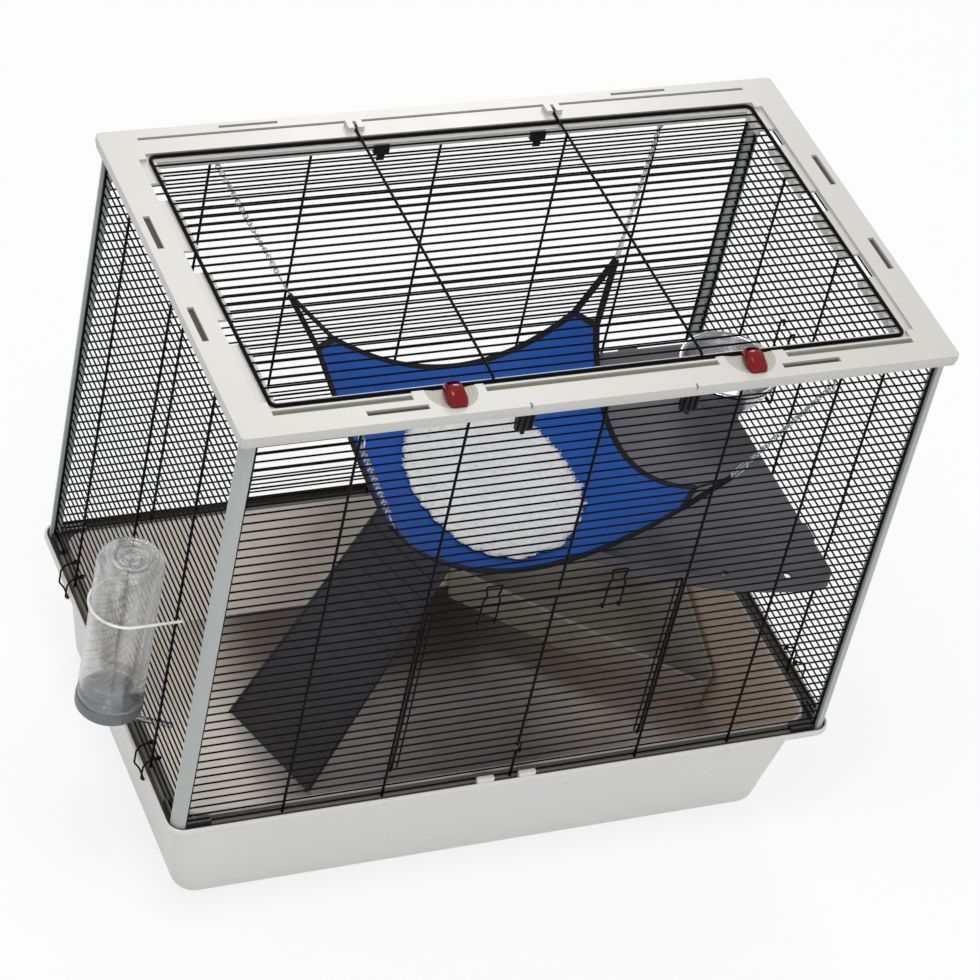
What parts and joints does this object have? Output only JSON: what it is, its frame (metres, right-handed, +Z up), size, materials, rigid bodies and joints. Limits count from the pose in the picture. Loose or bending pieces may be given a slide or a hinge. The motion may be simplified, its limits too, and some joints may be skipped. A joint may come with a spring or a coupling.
{
  "type": "ferret cage",
  "caption": "Wire cage for ferrets on a deep plastic tray, with a hinged wire roof, a front door, a shelf with a ladder, a hammock, a litter pan, a food bowl and a water bottle.",
  "frame": {"origin": "centre of the tray's underside", "axes": "+X to the right, +Y to the back, +Z up, seen from the front door's side"},
  "size_m": [0.8599, 0.48, 0.7138],
  "materials": {
    "tray": "satin light warm grey",
    "post": "satin grey",
    "frame": "satin off-white",
    "wire": "smooth black coating",
    "pin": "plain steel",
    "latch": "glossy dark red",
    "clip": "matt black",
    "shelf": "satin dark grey",
    "pan": "satin grey-taupe",
    "steel": "bright steel",
    "bottle": "clear",
    "cap": "glossy light grey",
    "seal": "matt grey rubber",
    "white_wire": "glossy white coating",
    "cloth": "woven blue",
    "fleece": "long white pile",
    "strap": "black webbing",
    "chain": "bright plated steel"
  },
  "bodies": {
    "cage": {"base_tray": "tray", "post_front_left": "post", "post_front_right": "post", "post_back_left": "post", "post_back_right": "post", "top_frame": "frame", "wire_panel_front": "wire", "wire_panel_back": "wire", "wire_panel_left": "wire", "wire_panel_right": "wire", "roof_hinge_clip_left": "frame", "roof_hinge_clip_right": "frame", "roof_latch_pin_left": "pin", "roof_latch_pin_right": "pin", "panel_clip_front_left": "clip", "panel_clip_front_right": "clip", "panel_clip_back_left": "clip", "panel_clip_back_right": "clip", "shelf": "shelf", "bowl_ring": "wire", "bottle_body": "bottle", "bottle_cap": "cap", "bottle_seal": "seal", "bottle_spout": "steel", "bottle_hoop": "white_wire", "hammock_cloth": "cloth", "hammock_fleece": "fleece", "hammock_straps": "strap", "hammock_chain_front_left": "chain", "hammock_chain_front_right": "chain", "hammock_chain_back_left": "chain", "hammock_chain_back_right": "chain", "hammock_ring_front_left": "chain", "hammock_ring_front_right": "chain", "hammock_ring_back_left": "chain", "hammock_ring_back_right": "chain"},
    "roof_door": {"roof_door": "wire"},
    "roof_latch_left": {"roof_latch_left": "latch"},
    "roof_latch_right": {"roof_latch_right": "latch"},
    "front_door": {"front_door": "wire"},
    "front_door_latch_left": {"front_door_latch_left": "wire"},
    "front_door_latch_right": {"front_door_latch_right": "wire"},
    "tray_catch_left_front": {"tray_catch_left_front": "wire"},
    "tray_catch_left_back": {"tray_catch_left_back": "wire"},
    "tray_catch_right_front": {"tray_catch_right_front": "wire"},
    "tray_catch_right_back": {"tray_catch_right_back": "wire"},
    "ladder": {"ladder": "shelf"},
    "litter_pan": {"litter_pan": "pan"},
    "food_bowl": {"food_bowl": "steel"},
    "spout_ball": {"spout_ball": "steel"}
  },
  "joints": [
    {"name": "roof_door_hinge", "type": "hinge", "parent": "cage", "child": "roof_door", "pos_m": [0, 0.213, 0.7018], "axis": [-1, 0, 0], "range_deg": [0, 105]},
    {"name": "roof_latch_left_turn", "type": "hinge", "parent": "cage", "child": "roof_latch_left", "pos_m": [-0.163, -0.2152, 0.7003], "axis": [0, 0, 1], "range_deg": [0, 90]},
    {"name": "roof_latch_right_turn", "type": "hinge", "parent": "cage", "child": "roof_latch_right", "pos_m": [0.163, -0.2152, 0.7003], "axis": [0, 0, -1], "range_deg": [0, 90]},
    {"name": "front_door_hinge", "type": "hinge", "parent": "cage", "child": "front_door", "pos_m": [0, -0.2275, 0.1853], "axis": [1, 0, 0], "range_deg": [0, 130]},
    {"name": "front_door_latch_left_swing", "type": "hinge", "parent": "front_door", "child": "front_door_latch_left", "pos_m": [-0.0755, -0.2275, 0.3923], "axis": [1, 0, 0], "range_deg": [0, 150]},
    {"name": "front_door_latch_right_swing", "type": "hinge", "parent": "front_door", "child": "front_door_latch_right", "pos_m": [0.0665, -0.2275, 0.3923], "axis": [1, 0, 0], "range_deg": [0, 150]},
    {"name": "tray_catch_left_front_swing", "type": "hinge", "parent": "cage", "child": "tray_catch_left_front", "pos_m": [-0.3775, -0.14, 0.1738], "axis": [0, 1, 0], "range_deg": [0, 90]},
    {"name": "tray_catch_left_back_swing", "type": "hinge", "parent": "cage", "child": "tray_catch_left_back", "pos_m": [-0.3775, 0.14, 0.1738], "axis": [0, 1, 0], "range_deg": [0, 90]},
    {"name": "tray_catch_right_front_swing", "type": "hinge", "parent": "cage", "child": "tray_catch_right_front", "pos_m": [0.3775, -0.14, 0.1738], "axis": [0, -1, 0], "range_deg": [0, 90]},
    {"name": "tray_catch_right_back_swing", "type": "hinge", "parent": "cage", "child": "tray_catch_right_back", "pos_m": [0.3775, 0.14, 0.1738], "axis": [0, -1, 0], "range_deg": [0, 90]},
    {"name": "ladder_lift", "type": "hinge", "parent": "cage", "child": "ladder", "pos_m": [0.03214, 0.058, 0.3293], "axis": [-0.3223, 0.9466, 0], "range_deg": [0, 25]},
    {"name": "litter_pan_lift", "type": "slide", "parent": "cage", "child": "litter_pan", "axis": [0, 0, 1], "range_m": [0, 0.1]},
    {"name": "food_bowl_lift", "type": "slide", "parent": "cage", "child": "food_bowl", "axis": [0, 0, 1], "range_m": [0, 0.05]},
    {"name": "spout_ball_press", "type": "slide", "parent": "cage", "child": "spout_ball", "axis": [-0.9018, 0, 0.4321], "range_m": [0, 0.0012]}
  ]
}
